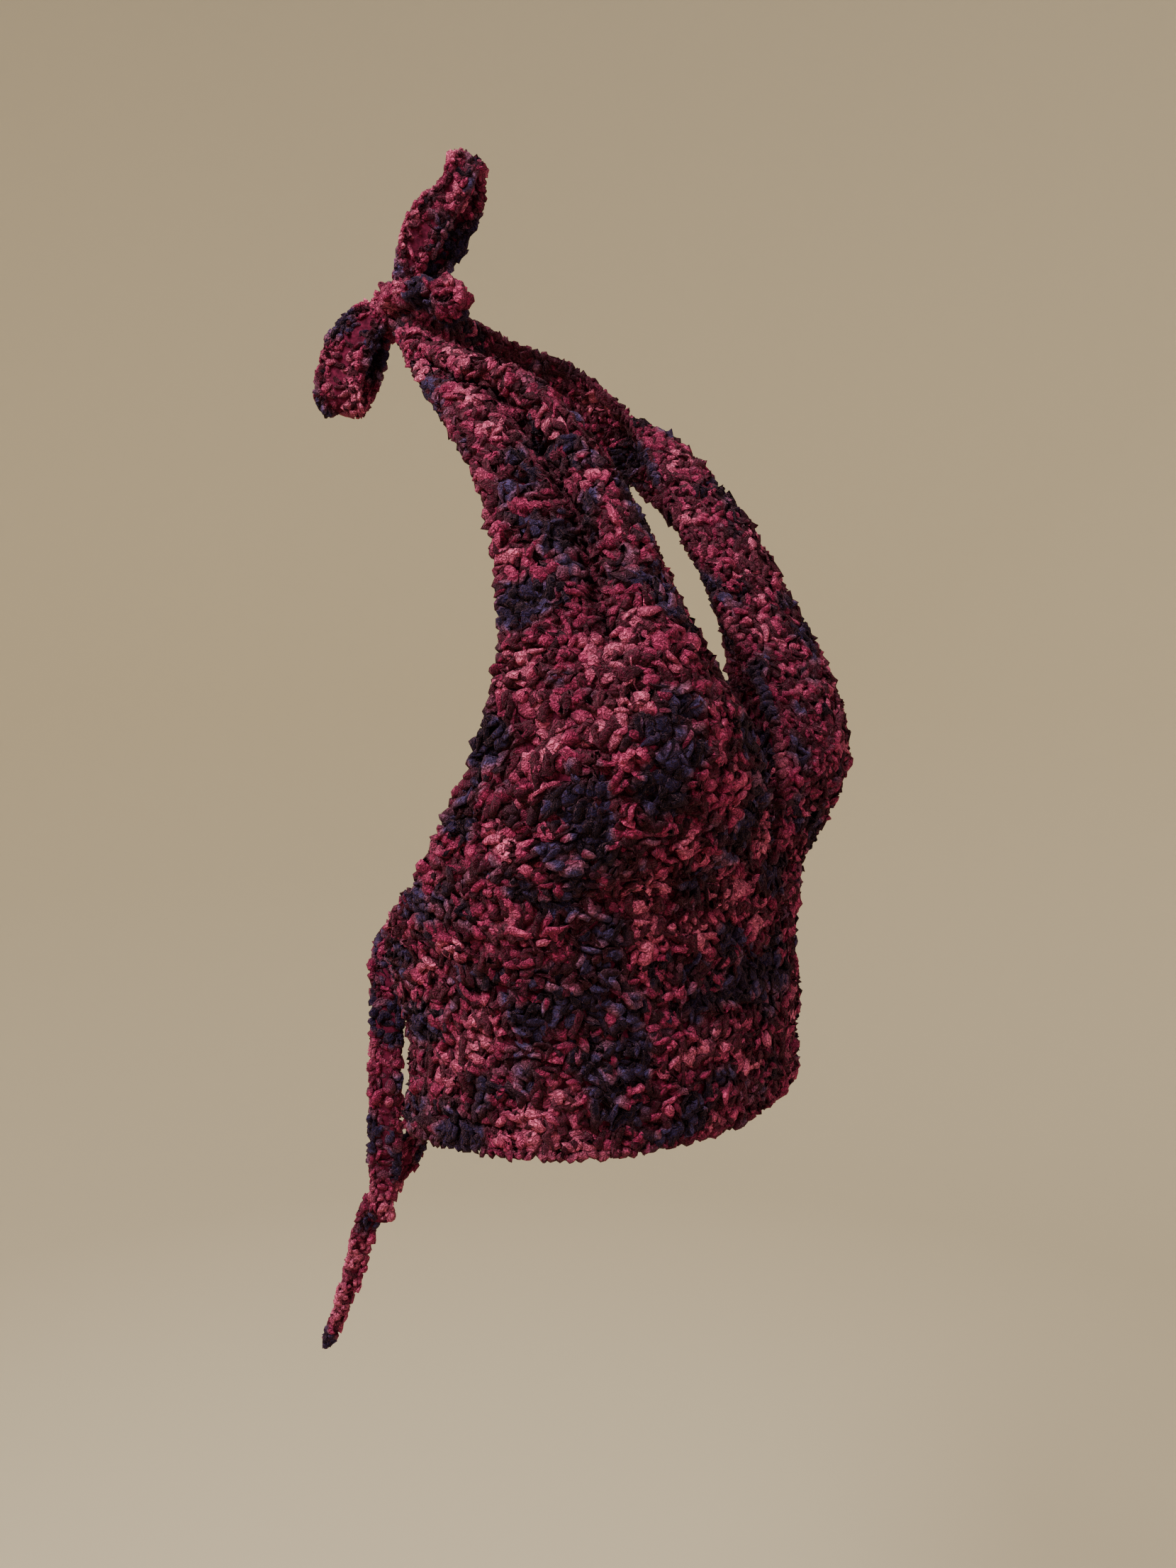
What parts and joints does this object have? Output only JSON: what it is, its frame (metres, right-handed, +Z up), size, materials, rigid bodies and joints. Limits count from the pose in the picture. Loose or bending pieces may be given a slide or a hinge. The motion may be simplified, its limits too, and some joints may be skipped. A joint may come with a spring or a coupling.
{
  "type": "halter top",
  "caption": "Crocheted chenille halter top as worn: deep body band open at the back, two cups running into neck straps, a bow at the nape and knotted back ties.",
  "frame": {"origin": "on the nape of the neck, at the inner face of the strap that holds the top up", "axes": "+Z up along the wearer, -Y towards the wearer's front, +X towards the wearer's left"},
  "size_m": [0.2754, 0.2864, 0.7209],
  "materials": {
    "chenille_yarn": "soft velvety chenille yarn, variegated burgundy, rose, mauve and navy"
  },
  "bodies": {
    "root": {"body_band": "chenille_yarn", "right_front_panel": "chenille_yarn", "left_front_panel": "chenille_yarn", "neck_knot": "chenille_yarn", "neck_loop_upper": "chenille_yarn", "neck_loop_lower": "chenille_yarn", "neck_tail_curl": "chenille_yarn", "back_tie_right": "chenille_yarn", "back_tie_left": "chenille_yarn", "back_knot": "chenille_yarn", "back_tie_end_near": "chenille_yarn", "back_tie_end_far": "chenille_yarn"}
  },
  "joints": []
}
